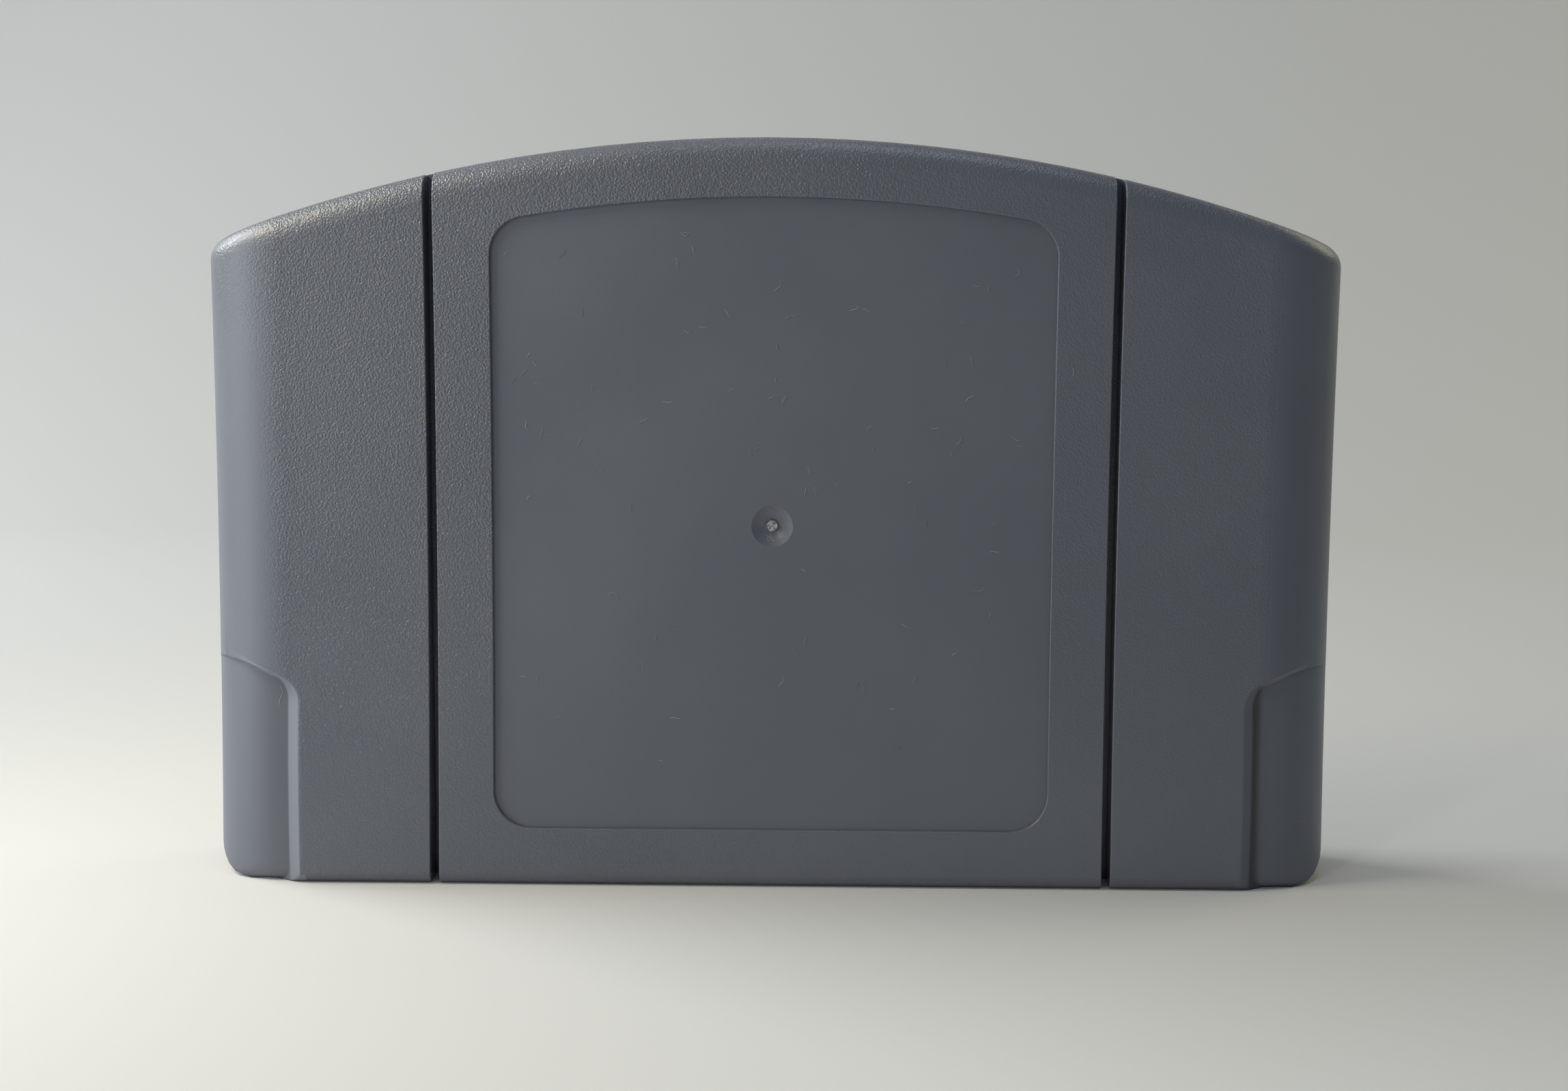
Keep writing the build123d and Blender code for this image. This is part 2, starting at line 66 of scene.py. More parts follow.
def reckon(tree, operation, first, second=0.0, third=0.0):
    """Result socket of one Math node."""
    return place(tree, "ShaderNodeMath", {0: first, 1: second, 2: third}, operation=operation).outputs[0]


def overlap(tree, first, *others):
    """Result socket of the product of masks, which stands where all of them hold."""
    for other in others:
        first = reckon(tree, "MULTIPLY", first, other)
    return first


def ramp(tree, value, low, high, start=0.0, end=1.0):
    """Result socket of a smooth change from start to end as the value goes from low to high."""
    inputs = {"Value": value, "From Min": low, "From Max": high, "To Min": start, "To Max": end}
    return place(tree, "ShaderNodeMapRange", inputs, interpolation_type="SMOOTHSTEP").outputs["Result"]


def tint(tree, share, first, second):
    """Result socket of a mix of two colours by a share."""
    mix = place(tree, "ShaderNodeMix", {0: share, 6: first, 7: second}, data_type="RGBA")
    return mix.outputs[2]


def noise(tree, where, scale, detail=2.0, roughness=0.5):
    """Result socket of a noise between 0 and 1, with that many features to a metre."""
    inputs = {"Vector": where, "Scale": scale, "Detail": detail, "Roughness": roughness}
    return place(tree, "ShaderNodeTexNoise", inputs).outputs["Fac"]


def new_group(name, inputs, outputs):
    """Empty shader node group with its named sockets, and its two end nodes."""
    group = bpy.data.node_groups.new(name, "ShaderNodeTree")
    for direction, sockets in (("INPUT", inputs), ("OUTPUT", outputs)):
        for socket, kind in sockets.items():
            group.interface.new_socket(socket, in_out=direction, socket_type="NodeSocket" + kind)
    return group, group.nodes.new("NodeGroupInput").outputs, group.nodes.new("NodeGroupOutput").inputs


def coat(nodes, finish):
    """Gives the named solids one finish in place of the one they came with."""
    for name in nodes:
        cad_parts[name].data.materials.clear()
        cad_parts[name].data.materials.append(finish)


# Pebbled grain: round bumps of one size, warped and broken up by a finer noise
grain, grain_in, grain_out = new_group(
    "pebbled_grain", {"Where": "Vector", "Features": "Float"}, {"Height": "Float", "Patches": "Float"}
)
cell_inputs = {"Vector": grain_in["Where"], "Scale": grain_in["Features"], "Smoothness": 0.5}
cells = place(grain, "ShaderNodeTexVoronoi", cell_inputs, feature="SMOOTH_F1").outputs["Distance"]
pebbles = ramp(grain, cells, 0.05, 0.75, 0.8, 0.0)
finer = noise(grain, grain_in["Where"], grain_in["Features"], 2.0, 0.55)
grain.links.new(reckon(grain, "MULTIPLY_ADD", finer, 1.2, pebbles), grain_out["Height"])
grain.links.new(noise(grain, grain_in["Where"], 45.0, 3.0), grain_out["Patches"])

# Label recess as a mask: deeper than the hollow face round it, and between the recess's two sides
hollow_radius = 0.5261
hollow_height = 0.041
front_face = 0.00765
recess, recess_in, recess_out = new_group(
    "label_recess", {"Where": "Vector"}, {"Inside": "Float", "Depth": "Float"}
)
axes = place(recess, "ShaderNodeSeparateXYZ", {0: recess_in["Where"]}).outputs
hollow_rise = reckon(recess, "SUBTRACT", axes["Z"], hollow_height)
hollow_sag = reckon(recess, "DIVIDE", reckon(recess, "POWER", hollow_rise, 2.0), 2 * hollow_radius)
depth = reckon(recess, "ADD", reckon(recess, "ADD", axes["Y"], front_face), hollow_sag)
sunk = ramp(recess, depth, 0.00025, 0.00045)
beside = ramp(recess, reckon(recess, "ABSOLUTE", axes["X"]), 0.0285, 0.0287, 1.0, 0.0)
over_foot = ramp(recess, axes["Z"], 0.0052, 0.0055)
crown_rise = reckon(recess, "ADD", axes["Z"], 0.0815)
from_crown_centre = reckon(recess, "POWER", crown_rise, 2.0)
from_crown_centre = reckon(recess, "MULTIPLY_ADD", axes["X"], axes["X"], from_crown_centre)
under_crown = ramp(recess, reckon(recess, "SQRT", from_crown_centre), 0.1518, 0.1520, 1.0, 0.0)
outer = ramp(recess, axes["Y"], -0.0055, -0.0050, 1.0, 0.0)
recess.links.new(overlap(recess, sunk, beside, over_foot, under_crown, outer), recess_out["Inside"])
recess.links.new(depth, recess_out["Depth"])

shell_plastic, tree, shader = new_finish("grained_shell_plastic")
where = place(tree, "ShaderNodeTexCoord").outputs["Object"]
grained = place(tree, "ShaderNodeGroup", {}, node_tree=grain)
grained.inputs["Features"].default_value = 4600.0
tree.links.new(where, grained.inputs["Where"])
panel = place(tree, "ShaderNodeGroup", {}, node_tree=recess)
tree.links.new(where, panel.inputs["Where"])
satin = panel.outputs["Inside"]
patches = grained.outputs["Patches"]
shell_axes = place(tree, "ShaderNodeSeparateXYZ", {0: where}).outputs
outward = reckon(tree, "ABSOLUTE", shell_axes["X"])

# Smooth places: the rounded sides, less so towards the crown, and the sunk faces of the stepped corners
rear_face = 0.00925
behind_rear = reckon(tree, "SUBTRACT", rear_face, shell_axes["Y"])
sunk_by = reckon(tree, "MINIMUM", panel.outputs["Depth"], behind_rear)
below_step = ramp(tree, shell_axes["Z"], 0.0211, 0.0216, 1.0, 0.0)
at_corner = overlap(tree, ramp(tree, outward, 0.0476, 0.0478), below_step)
on_step = overlap(tree, at_corner, ramp(tree, sunk_by, 0.00004, 0.00012))
below_crown = ramp(tree, shell_axes["Z"], 0.050, 0.062, 1.0, 0.6)
on_side = overlap(tree, ramp(tree, outward, 0.0493, 0.0518), below_crown)
smooth = reckon(tree, "MAXIMUM", on_side, on_step)

# Relief: the grain, rubbed down low and towards the right, and edges rounded at the stepped corners
grain_share = reckon(tree, "MULTIPLY_ADD", satin, -0.94, reckon(tree, "MULTIPLY_ADD", smooth, -0.80, 1.0))
rubbed_low = ramp(tree, shell_axes["Z"], 0.008, 0.050, 0.42, 1.0)
rubbed = overlap(tree, rubbed_low, ramp(tree, shell_axes["X"], -0.03, 0.03, 1.0, 0.42))
grain_height = overlap(tree, grained.outputs["Height"], overlap(tree, grain_share, rubbed))
near_foot = ramp(tree, shell_axes["Z"], 0.0245, 0.0250, 1.0, 0.0)
near_step = overlap(tree, ramp(tree, outward, 0.0460, 0.0465), near_foot)
sharp = place(tree, "ShaderNodeNewGeometry").outputs["Normal"]
rounded = place(tree, "ShaderNodeBevel", {"Radius": 0.0005}, samples=6).outputs["Normal"]
worn = place(tree, "ShaderNodeMix", {0: near_step, 4: sharp, 5: rounded}, data_type="VECTOR").outputs[1]
bump_inputs = {"Strength": 1.0, "Distance": 0.000062, "Height": grain_height, "Normal": worn}
bump = place(tree, "ShaderNodeBump", bump_inputs)
tree.links.new(bump.outputs["Normal"], shader.inputs["Normal"])

# Colour: two near greys in patches, with the plastic whitened where the gate was torn off
dark_grey = (0.119, 0.128, 0.152, 1)
light_grey = (0.131, 0.140, 0.164, 1)
torn_white = (0.42, 0.42, 0.41, 1)
gate_height = 0.0371
shell_tone = tint(tree, ramp(tree, patches, 0.35, 0.7), dark_grey, light_grey)
from_gate = reckon(tree, "POWER", reckon(tree, "SUBTRACT", shell_axes["Z"], gate_height), 2.0)
from_gate = reckon(tree, "SQRT", reckon(tree, "MULTIPLY_ADD", shell_axes["X"], shell_axes["X"], from_gate))
at_gate = ramp(tree, from_gate, 0.0005, 0.0006, 1.0, 0.0)
torn = overlap(tree, at_gate, satin, ramp(tree, noise(tree, where, 3600.0), 0.35, 0.60))
shell_tone = tint(tree, torn, shell_tone, torn_white)

# Step: painted highlight on its wall at the left and on its slanted edge at both sides, stronger at the left
# where the lamps light them, and painted shade at its foot at the right
painted_highlight_grey = (0.235, 0.25, 0.285, 1)
painted_shade_dark = (0.03, 0.03, 0.032, 1)
edge_slope = 0.404
edge_rise = 0.00122
over_floor = ramp(tree, sunk_by, 0.00088, 0.00098, 1.0, 0.0)
wall_end = ramp(tree, outward, 0.0500, 0.0508, 0.55, 0.0)
at_left = ramp(tree, shell_axes["X"], -0.01, 0.01, 1.0, 0.0)
lit_wall = overlap(tree, on_step, over_floor, wall_end, at_left)
over_edge = reckon(tree, "SUBTRACT", shell_axes["Z"], edge_rise)
over_edge = reckon(tree, "MULTIPLY_ADD", outward, -edge_slope, over_edge)
edge_foot = ramp(tree, over_edge, -0.0007, -0.0004)
edge_top = ramp(tree, over_edge, -0.0001, 0.0001, 1.0, 0.0)
edge_start = ramp(tree, outward, 0.0495, 0.0503)
edge_end = ramp(tree, outward, 0.0515, 0.0562, 1.0, 0.0)
edge_share = ramp(tree, shell_axes["X"], -0.01, 0.01, 0.9, 0.65)
lit_edge = overlap(tree, edge_foot, edge_top, edge_start, edge_end, edge_share)
# Painted highlight: the lit wall and edge take a pale grey in place of the shell's colour
shell_tone = tint(tree, reckon(tree, "MAXIMUM", lit_wall, lit_edge), shell_tone, painted_highlight_grey)
# Painted shade: near-black at the foot of the right step's wall, where the wall shades it from the left lamps
groove_end = ramp(tree, outward, 0.0496, 0.0504, 0.80, 0.0)
at_right = ramp(tree, shell_axes["X"], -0.01, 0.01)
shaded_foot = overlap(tree, at_corner, ramp(tree, sunk_by, 0.00055, 0.00080), groove_end, at_right)
tree.links.new(tint(tree, shaded_foot, shell_tone, painted_shade_dark), shader.inputs["Base Color"])
gloss = reckon(tree, "MULTIPLY_ADD", satin, 0.18, ramp(tree, patches, 0.3, 0.75, 0.16, 0.20))
tree.links.new(reckon(tree, "MULTIPLY_ADD", smooth, 0.26, gloss), shader.inputs["Roughness"])
coat(["front_shell", "rear_shell"], shell_plastic)

# Stepped corner faces
# Part of the same moulding: below each step the face lies about 1 mm lower and fades out towards the side.
# They lie over the deeper corners of the solids, so that the outline runs smoothly past the step.


def stepped_faces(columns, rows):
    """Sunk faces of the four lower corners. Along each height a face runs flat from inside the step's wall,
    then turns through a circle of 7.48 mm to the outline, which is straight at the side and an arc of 4.2 mm
    at the foot, and then runs back along that outline to the seam. The front ones follow the hollow face, a
    circle of 526 mm about a height of 41 mm. The top edge rises outward with the step, where the last 0.6 mm
    ramp up to the face above, and the foot is rounded by a circle of 1.2 mm. Left ones mirror the right."""
    inner_end, flat_part = 0.0491, 0.25
    turn_centre, turn_radius = 0.05052, 0.00748
    shell_centre, shell_radius, under_shell = 0.0495, 0.0085, 0.00002
    arc_centre, arc_radius, straight = 0.05381, 0.0042, 0.004177
    foot_radius, foot_end, foot_fade = 0.0012, 0.0545, 0.0025
    wall_foot, step_height = 0.0497, 0.0213
    climb_start, climb_height = 0.00065, 0.0006
    climb_from, climb_fade = 0.0503, 0.0018
    front_centre, rear_centre = 0.00085, 0.00075
    half_seam, near_seam = 0.0002, 0.00025
    share = np.linspace(0.0, 1.0, columns)[None, :]
    turning = np.clip((share - flat_part) / (1 - flat_part), 0.0, 1.0)
    level = inner_end + (turn_centre - inner_end) * np.clip(share / flat_part, 0.0, 1.0)
    plan = level + turn_radius * np.sin(turning * np.pi / 2)
    top = step_height + edge_slope * (plan - wall_foot)
    lower = np.linspace(0.0, 0.95, rows // 2) ** 1.2
    upper = np.linspace(0.95, 1.0, rows - rows // 2)
    height = top * np.concatenate([lower, upper])[:, None]
    under = np.clip(arc_radius - height, 0.0, arc_radius)
    outline = arc_centre + np.minimum(np.sqrt(arc_radius**2 - under**2), straight)
    angle = turning * np.arcsin((outline - turn_centre) / turn_radius)
    x = level + turn_radius * np.sin(angle)
    foot = np.clip(foot_radius - height, 0.0, foot_radius)
    drawn_in = foot_radius - np.sqrt(foot_radius**2 - foot**2)
    proud = turn_radius * np.cos(angle) - drawn_in * np.clip((foot_end - x) / foot_fade, 0.0, 1.0)
    shell = np.sqrt(shell_radius**2 - np.clip(x - shell_centre, 0.0, shell_radius) ** 2) - under_shell
    climb = np.clip((height - top + climb_start) / climb_height, 0.0, 1.0)
    beyond = np.clip((x - climb_from) / climb_fade, 0.0, 1.0)
    proud += (shell - proud) * climb**2 * (3 - 2 * climb) * beyond**2 * (3 - 2 * beyond)
    hollow = np.sqrt(hollow_radius**2 - (height - hollow_height) ** 2) - hollow_radius
    front = np.stack([x, np.minimum(front_centre + hollow - proud, -near_seam), height], axis=2)
    rear = np.stack([x, rear_centre + proud, height], axis=2)
    points = []
    for corner, seam in ((front, -half_seam), (rear, half_seam)):
        back = corner[:, -1:].copy()
        back[..., 1] = seam
        corner = np.concatenate([corner, back], axis=1)
        points += [corner, corner * (-1, 1, 1)]
    wide = columns + 1
    start = (np.arange(rows - 1)[:, None] * wide + np.arange(columns)).reshape(-1)
    ahead = np.stack([start, start + 1, start + wide + 1, start + wide], axis=1)
    turned = ahead[:, ::-1]
    faces = [quads + number * rows * wide for number, quads in enumerate((ahead, turned, turned, ahead))]
    mesh = bpy.data.meshes.new("stepped_faces")
    mesh.from_pydata(np.stack(points).reshape(-1, 3).tolist(), [], np.concatenate(faces).tolist())
    mesh.polygons.foreach_set("use_smooth", np.ones(len(mesh.polygons), bool))
    return mesh


corner_faces = bpy.data.objects.new("stepped_faces", stepped_faces(40, 60))
corner_faces.data.materials.append(shell_plastic)
bpy.context.scene.collection.objects.link(corner_faces)
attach(corner_faces, "root")

# Screws
# Two security screws with fluted heads hold the halves, and two cross-recess screws clamp the shields.
# All are cold-headed steel, zinc plated, so their grey is a little cloudy and finely scratched.


def new_metal(name, dark, bright, low, high, stretch, features):
    """Metal whose colour and gloss vary with a noise drawn out along the axis that stretch makes small."""
    finish, tree, shader = new_finish(name)
    where = place(tree, "ShaderNodeTexCoord").outputs["Object"]
    drawn = place(tree, "ShaderNodeVectorMath", {0: where, 1: stretch}, operation="MULTIPLY").outputs[0]
    cloud = noise(tree, drawn, features, 4.0, 0.6)
    share = ramp(tree, cloud, 0.3, 0.7)
    tree.links.new(tint(tree, share, (*dark, 1), (*bright, 1)), shader.inputs["Base Color"])
    tree.links.new(ramp(tree, cloud, 0.3, 0.7, high, low), shader.inputs["Roughness"])
    bump = place(tree, "ShaderNodeBump", {"Strength": 0.4, "Distance": 0.00001, "Height": cloud})
    tree.links.new(bump.outputs["Normal"], shader.inputs["Normal"])
    shader.inputs["Metallic"].default_value = 1.0
    return finish


zinc = new_metal("zinc_plate", (0.40, 0.40, 0.39), (0.58, 0.57, 0.54), 0.28, 0.46, (1.0, 0.4, 1.0), 900.0)
coat(["case_screws", "shield_screws"], zinc)

# Circuit board
# Glass-cloth laminate under a green solder mask, cut out with a tongue that carries the edge contacts.
# Copper tracks under the mask show as lighter lines, and the laminate's weave as a faint grid.
mask_green, tree, shader = new_finish("green_solder_mask")
where = place(tree, "ShaderNodeTexCoord").outputs["Object"]
board_axes = place(tree, "ShaderNodeSeparateXYZ", {0: where}).outputs
bend = reckon(tree, "MULTIPLY", noise(tree, where, 70.0, 0.0), 0.02)
lane = reckon(tree, "MULTIPLY", reckon(tree, "ADD", board_axes["X"], bend), 780.0)
track = ramp(tree, reckon(tree, "PINGPONG", lane, 0.5), 0.24, 0.30)
routed = ramp(tree, noise(tree, where, 110.0, 1.0), 0.48, 0.52)
copper = reckon(tree, "MULTIPLY", track, routed)
weave_across = reckon(tree, "SINE", reckon(tree, "MULTIPLY", board_axes["X"], 9000.0))
weave_up = reckon(tree, "SINE", reckon(tree, "MULTIPLY", board_axes["Z"], 9000.0))
weave = reckon(tree, "MULTIPLY", weave_across, weave_up)
mask_tone = tint(tree, copper, (0.014, 0.105, 0.042, 1), (0.034, 0.190, 0.078, 1))
tree.links.new(mask_tone, shader.inputs["Base Color"])
relief = reckon(tree, "MULTIPLY_ADD", weave, 0.08, copper)
bump = place(tree, "ShaderNodeBump", {"Strength": 0.5, "Distance": 0.00002, "Height": relief})
tree.links.new(bump.outputs["Normal"], shader.inputs["Normal"])
tree.links.new(ramp(tree, weave, -1.0, 1.0, 0.30, 0.38), shader.inputs["Roughness"])
coat(["circuit_board"], mask_green)

# Edge contacts
# Copper pads plated with nickel and hard gold, one row on each face of the tongue.
# Each has been wiped by a connector's springs, which left streaks along its length.
gold = new_metal("hard_gold", (0.62, 0.40, 0.13), (0.88, 0.66, 0.28), 0.20, 0.36, (1.0, 1.0, 0.06), 5200.0)
coat(["front_contacts", "rear_contacts"], gold)

# Shields
# Trays pressed from tinned steel sheet that clamp the board between them.
# The rolled sheet has long faint streaks and a soft, uneven shine.
rolled = (0.08, 1.0, 1.0)
tinned_sheet = new_metal("tinned_sheet", (0.46, 0.46, 0.45), (0.66, 0.66, 0.64), 0.26, 0.48, rolled, 1500.0)
coat(["front_shield", "rear_shield"], tinned_sheet)

# Chips
# Black epoxy packages, transfer moulded round lead frames, soldered to the front of the board.
# The moulding is matt and finely speckled with its filler; the leads are tin plated.


def new_moulding(name, dark, bright, low, high, features):
    """Matt moulded or fired body: two near colours and a gloss that follow one fine noise."""
    finish, tree, shader = new_finish(name)
    where = place(tree, "ShaderNodeTexCoord").outputs["Object"]
    speckle = noise(tree, where, features, 3.0, 0.65)
    share = ramp(tree, speckle, 0.35, 0.65)
    tree.links.new(tint(tree, share, (*dark, 1), (*bright, 1)), shader.inputs["Base Color"])
    tree.links.new(ramp(tree, speckle, 0.35, 0.65, low, high), shader.inputs["Roughness"])
    bump = place(tree, "ShaderNodeBump", {"Strength": 0.5, "Distance": 0.00001, "Height": speckle})
    tree.links.new(bump.outputs["Normal"], shader.inputs["Normal"])
    return finish


epoxy = new_moulding("black_epoxy", (0.014, 0.014, 0.016), (0.028, 0.028, 0.030), 0.50, 0.64, 6000.0)
coat(["rom_body", "lockout_body", "save_memory_body", "resistor_bodies"], epoxy)
tin = new_metal("tin_plate", (0.54, 0.54, 0.53), (0.72, 0.72, 0.71), 0.24, 0.40, (1.0, 1.0, 0.3), 4000.0)
coat(["rom_leads", "lockout_leads", "save_memory_leads"], tin)

# Small parts
# Chip capacitors of fired ceramic, chip resistors, and one larger capacitor moulded in amber resin.
# Their ends are dipped in solder, which shares the tin of the chip leads.
ceramic = new_moulding("fired_ceramic", (0.40, 0.29, 0.17), (0.50, 0.37, 0.23), 0.36, 0.52, 9000.0)
coat(["capacitor_bodies"], ceramic)
resin = new_moulding("amber_resin", (0.62, 0.34, 0.045), (0.76, 0.45, 0.075), 0.30, 0.44, 3500.0)
coat(["smoothing_capacitor"], resin)
coat(["capacitor_ends", "resistor_ends", "smoothing_capacitor_ends"], tin)

# Lint
# Short pale fibres from a cloth that cling to the recess, to the face round it and in the gate's dish.
# Each is a hair about 0.05 mm thick that curls in the plane of the face and lies on it.


def lint_fibres(spots, radius, steps, sides):
    """Tubes swept along curled lines. Each line starts at a spot, and its heading turns by the bend over its
    length and sways a little, so its points are the running sum of short steps along that heading. Every
    point is set on the front by a ray cast from ahead of it. The tube's rings are circles round the line,
    thinned to half at both ends, where a flat face closes them."""
    sway, sway_rate = 0.35, 9.0
    well_ahead = -0.05
    spots = np.array(spots)
    along = np.linspace(0.0, 1.0, steps)
    heading = spots[:, 2, None] + spots[:, 4, None] * along
    heading = heading + sway * np.sin(sway_rate * along + spots[:, 0, None])
    stride = spots[:, 3, None] / (steps - 1)
    across = spots[:, 0, None] + np.cumsum(np.cos(heading) * stride, axis=1)
    up = spots[:, 1, None] + np.cumsum(np.sin(heading) * stride, axis=1)
    bpy.context.view_layer.update()
    ahead = np.zeros_like(across)
    for carrier in (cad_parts["front_shell"], corner_faces):
        into = carrier.matrix_world.inverted()
        inward = into.to_3x3() @ Vector((0, 1, 0))
        for row, column in np.ndindex(across.shape):
            start = into @ Vector((across[row, column], well_ahead, up[row, column]))
            hit, point = carrier.ray_cast(start, inward)[:2]
            reached = (carrier.matrix_world @ point).y if hit else 0.0
            ahead[row, column] = min(ahead[row, column], reached)
    turn = np.linspace(0.0, 2 * np.pi, sides, endpoint=False)
    thick = radius * (0.5 + 0.5 * np.sin(np.pi * along) ** 0.5)[None, :, None]
    side_x = -np.sin(heading)[:, :, None]
    side_z = np.cos(heading)[:, :, None]
    points = np.empty((len(spots), steps, sides, 3))
    points[..., 0] = across[:, :, None] + side_x * thick * np.cos(turn)
    points[..., 1] = ahead[:, :, None] - radius + thick * np.sin(turn)
    points[..., 2] = up[:, :, None] + side_z * thick * np.cos(turn)
    ring = np.arange(sides)
    after = (ring + 1) % sides
    fibre_start = np.arange(len(spots))[:, None] * steps * sides
    first = (fibre_start + np.arange(steps - 1) * sides).reshape(-1, 1)
    faces = np.stack([first + ring, first + sides + ring, first + sides + after, first + after], axis=2)
    ends = np.concatenate([fibre_start + ring, fibre_start + (steps - 1) * sides + ring[::-1]])
    mesh = bpy.data.meshes.new("lint")
    mesh.from_pydata(points.reshape(-1, 3).tolist(), [], faces.reshape(-1, 4).tolist() + ends.tolist())
    mesh.polygons.foreach_set("use_smooth", np.ones(len(mesh.polygons), bool))
    return mesh


# Place across and up, heading, length and bend of the plainest, one by one
seen_fibres = [
    (-0.00950, 0.0668, -1.2, 0.0012, 1.4), (-0.00917, 0.0664, 0.4, 0.0008, -0.8),
    (-0.00960, 0.0630, 1.3, 0.0011, 0.9), (-0.02700, 0.0640, 0.7, 0.0009, 0.5),
    (-0.02530, 0.0521, 1.1, 0.0010, -0.6), (-0.02640, 0.0512, 0.9, 0.0011, 0.4),
    (-0.01130, 0.0497, -0.5, 0.0013, 1.1), (0.00000, 0.0608, 0.2, 0.0012, 1.3),
    (-0.00780, 0.0645, 2.3, 0.0008, -1.0), (-0.01930, 0.0579, 1.0, 0.0010, 0.7),
    (-0.00760, 0.0570, 0.6, 0.0009, -1.2), (-0.02340, 0.0457, 1.2, 0.0012, 0.5),
    (-0.01780, 0.0433, -0.9, 0.0010, 0.8), (-0.01580, 0.0292, 0.5, 0.0024, 5.2),
    (0.00060, 0.0206, 0.3, 0.0013, 1.6), (0.03010, 0.0524, 1.4, 0.0010, 0.6),
    (0.02030, 0.0306, -0.3, 0.0014, 1.2), (-0.05050, 0.0206, -1.2, 0.0026, -0.9),
    (0.05420, 0.0086, -1.7, 0.0011, 0.4), (0.05430, 0.0068, 0.2, 0.0009, -1.1),
    (0.00900, 0.0201, 0.1, 0.0022, 4.6),
]

# A seeded scatter of faint ones over the recess, and then those that are caught round the gate
scatter = np.random.default_rng(64)
count = 70
faint = np.stack([
    scatter.uniform(-0.026, 0.026, count),
    scatter.uniform(0.012, 0.064, count),
    scatter.uniform(0.0, 6.28, count),
    scatter.uniform(0.0004, 0.0013, count),
    scatter.uniform(-1.8, 1.8, count),
], axis=1)
caught = 16
dish_radius = 0.0016
spread = dish_radius * np.sqrt(scatter.uniform(0.08, 1.0, caught))
bearing = scatter.uniform(0.0, 6.28, caught)
in_dish = np.stack([
    spread * np.cos(bearing),
    gate_height + spread * np.sin(bearing),
    bearing + 1.6 + scatter.uniform(-0.6, 0.6, caught),
    scatter.uniform(0.0004, 0.0011, caught),
    scatter.uniform(-0.5, 2.2, caught),
], axis=1)
all_fibres = seen_fibres + faint.tolist() + in_dish.tolist()
fibre_radius = 0.000022
lint = bpy.data.objects.new("lint", lint_fibres(all_fibres, fibre_radius, 12, 6))
bpy.context.scene.collection.objects.link(lint)
fibre, tree, shader = new_finish("pale_fibre")
where = place(tree, "ShaderNodeTexCoord").outputs["Object"]
fade = ramp(tree, noise(tree, where, 160.0), 0.35, 0.65)
tree.links.new(tint(tree, fade, (0.20, 0.20, 0.21, 1), (0.42, 0.42, 0.43, 1)), shader.inputs["Base Color"])
shader.inputs["Roughness"].default_value = 0.8
lint.data.materials.append(fibre)
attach(lint, "root")

# Floor and backdrop
# A sheet of pale paper that lies flat under the object and curves up behind it.
# Its material is clear from the other side, so that a view from behind or below still shows the object.


def paper_sweep(half_width, near, turn, radius, top):
    """Profile carried along X: a straight run from near to turn, a quarter circle of that radius, and a
    straight run up to the top. Each profile point is repeated at both ends of the width."""
    angle = np.linspace(0.0, np.pi / 2, 24)
    along = np.concatenate([[near], turn + radius * np.sin(angle), [turn + radius]])
    up = np.concatenate([[0.0], radius * (1 - np.cos(angle)), [top]])
    points = np.zeros((len(along), 2, 3))
    points[:, :, 0] = (-half_width, half_width)
    points[:, :, 1] = along[:, None]
    points[:, :, 2] = up[:, None]
    row = np.arange(len(along) - 1) * 2
    faces = np.stack([row, row + 1, row + 3, row + 2], axis=1)
    mesh = bpy.data.meshes.new("paper_sweep")
    mesh.from_pydata(points.reshape(-1, 3).tolist(), [], faces.tolist())
    mesh.polygons.foreach_set("use_smooth", np.ones(len(faces), bool))
    return mesh


paper, tree, shader = new_finish("pale_paper")
shader.inputs["Base Color"].default_value = (0.645, 0.63, 0.60, 1)
shader.inputs["Roughness"].default_value = 0.9
shader.inputs["Specular IOR Level"].default_value = 0.1
behind = place(tree, "ShaderNodeNewGeometry").outputs["Backfacing"]
clear = place(tree, "ShaderNodeBsdfTransparent").outputs["BSDF"]
one_sided = place(tree, "ShaderNodeMixShader", {0: behind, 1: shader.outputs["BSDF"], 2: clear})
tree.links.new(one_sided.outputs[0], tree.nodes["Material Output"].inputs["Surface"])
sweep = bpy.data.objects.new("paper_sweep", paper_sweep(1.2, -0.9, 0.28, 0.22, 0.9))
sweep.data.materials.append(paper)
bpy.context.scene.collection.objects.link(sweep)

# Light
# A window at the left and a little behind, a broad lamp overhead, and a warm one at the right rear.
# Three small lamps at the left light the side and pick out the grain. The surround is dim, but the camera
# sees it as pale.


def lamp(name, position, size, power, colour):
    """Square area lamp at a position, turned to face the middle of the object and not seen itself."""
    light = bpy.data.lights.new(name, "AREA")
    light.size = size
    light.energy = power
    light.color = colour
    item = bpy.data.objects.new(name, light)
    item.location = position
    item.rotation_mode = "QUATERNION"
    item.rotation_quaternion = (Vector((0.0, 0.0, 0.04)) - Vector(position)).to_track_quat("-Z", "Y")
    item.visible_camera = False
    bpy.context.scene.collection.objects.link(item)


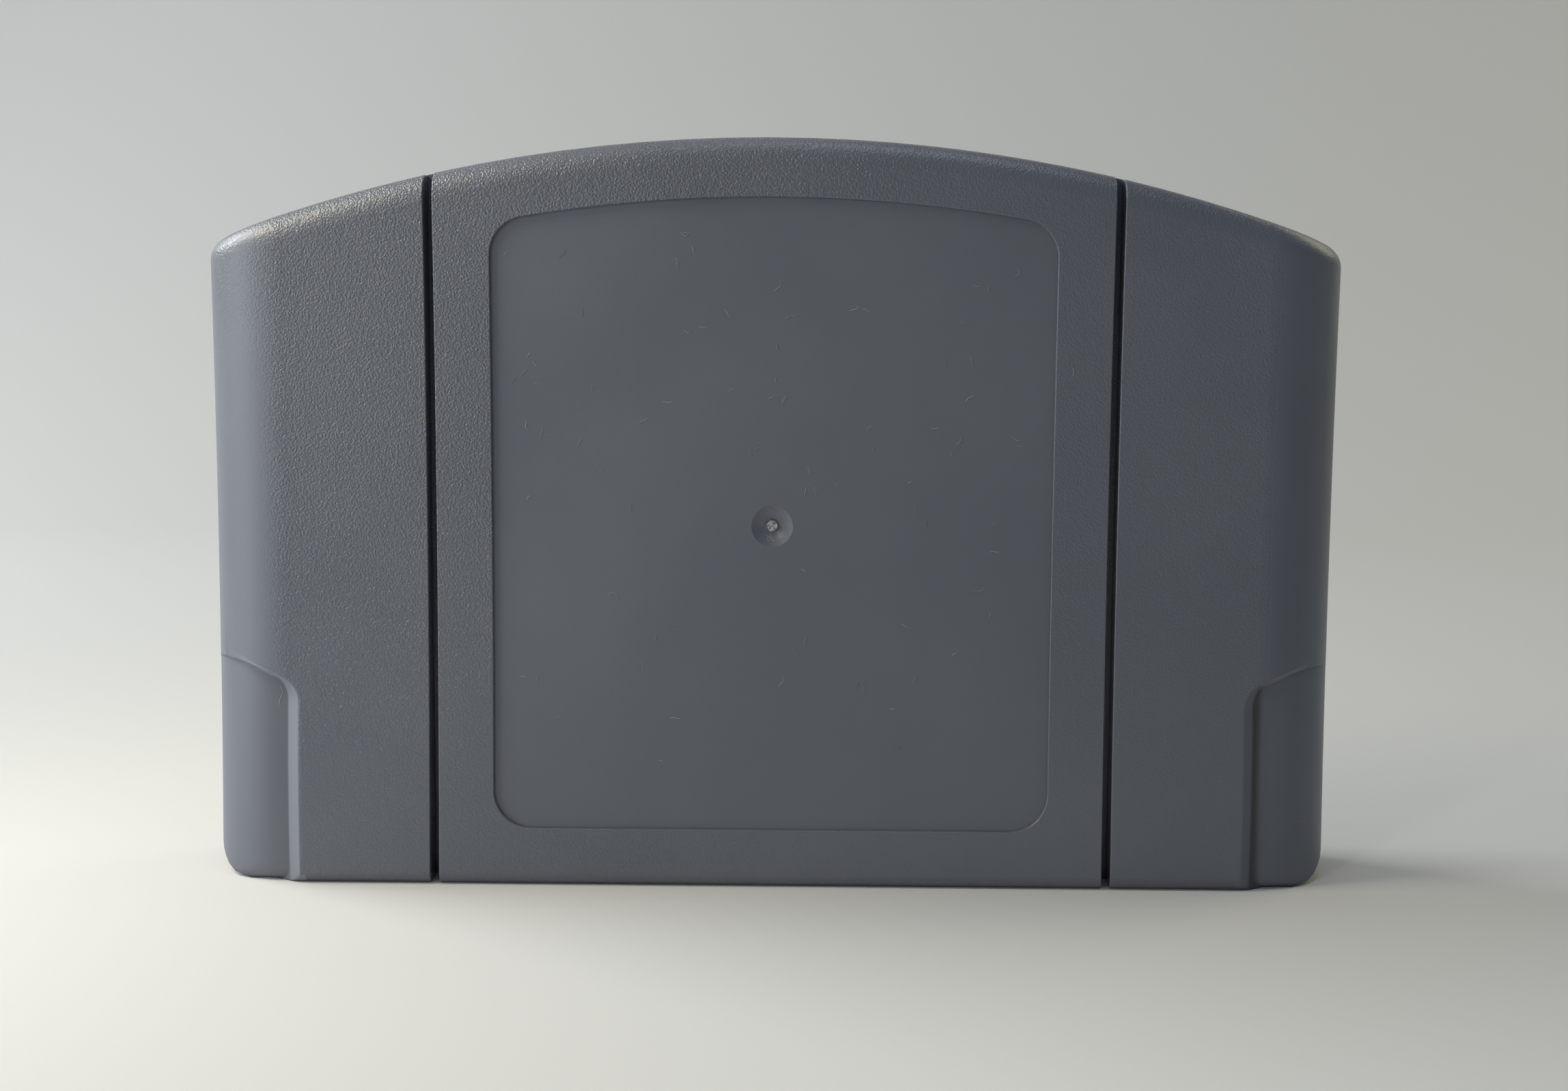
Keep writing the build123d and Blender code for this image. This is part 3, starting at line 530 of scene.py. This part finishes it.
lamp("left_window", (-0.45, 0.15, 0.30), 0.30, 2.40, (0.96, 0.99, 1.0))
lamp("right_rear", (0.55, 0.35, 0.40), 0.40, 1.00, (1.0, 0.90, 0.60))
lamp("overhead", (0.0, -0.05, 0.70), 0.40, 0.80, (0.78, 0.84, 1.0))
lamp("left_side", (-0.16, -0.06, 0.05), 0.10, 0.085, (0.80, 0.90, 1.0))
lamp("left_near", (-0.11, -0.04, 0.14), 0.05, 0.11, (1.0, 0.90, 0.66))
lamp("left_spark", (-0.14, -0.28, 0.15), 0.03, 0.12, (1.0, 0.93, 0.86))
world = bpy.data.worlds.new("surround")
bpy.context.scene.world = world
world.use_nodes = True
tree = world.node_tree
dim = tree.nodes["Background"]
dim.inputs["Color"].default_value = (0.68, 0.84, 1.0, 1)
dim.inputs["Strength"].default_value = 0.21
pale = place(tree, "ShaderNodeBackground", {"Color": (0.60, 0.60, 0.58, 1)}).outputs["Background"]
sight = place(tree, "ShaderNodeLightPath").outputs["Is Camera Ray"]
seen = place(tree, "ShaderNodeMixShader", {0: sight, 1: dim.outputs["Background"], 2: pale})
tree.links.new(seen.outputs[0], tree.nodes["World Output"].inputs["Surface"])

# Camera
# Placed by fitting the front's outline, slits and recess to the photograph, with the focal length and the
# picture's width in the photograph's pixels.
focal_length = 3400.0
picture_width = 2296.0
sensor_width = 36.0
pitch = radians(7.503)
roll = radians(0.385)
yaw = radians(0.553)
tip = np.array([[1, 0, 0], [0, cos(pitch), -sin(pitch)], [0, sin(pitch), cos(pitch)]])
lean = np.array([[cos(roll), -sin(roll), 0], [sin(roll), cos(roll), 0], [0, 0, 1]])
swing = np.array([[cos(yaw), 0, sin(yaw)], [0, 1, 0], [-sin(yaw), 0, cos(yaw)]])
right, down, forward = lean @ tip @ swing @ np.array([[1, 0, 0], [0, 0, -1], [0, 1, 0]])
pose = np.eye(4)
pose[:3, 0] = right
pose[:3, 1] = -down
pose[:3, 2] = -forward
pose[:3, 3] = (0.00347, -0.24059, 0.06588)
camera = bpy.data.objects.new("camera", bpy.data.cameras.new("camera"))
camera.matrix_world = Matrix(pose.tolist())
camera.data.sensor_width = sensor_width
camera.data.lens = sensor_width * focal_length / picture_width
camera.data.clip_start = 0.01
bpy.context.scene.collection.objects.link(camera)
bpy.context.scene.camera = camera
bpy.context.scene.view_settings.view_transform = "Standard"
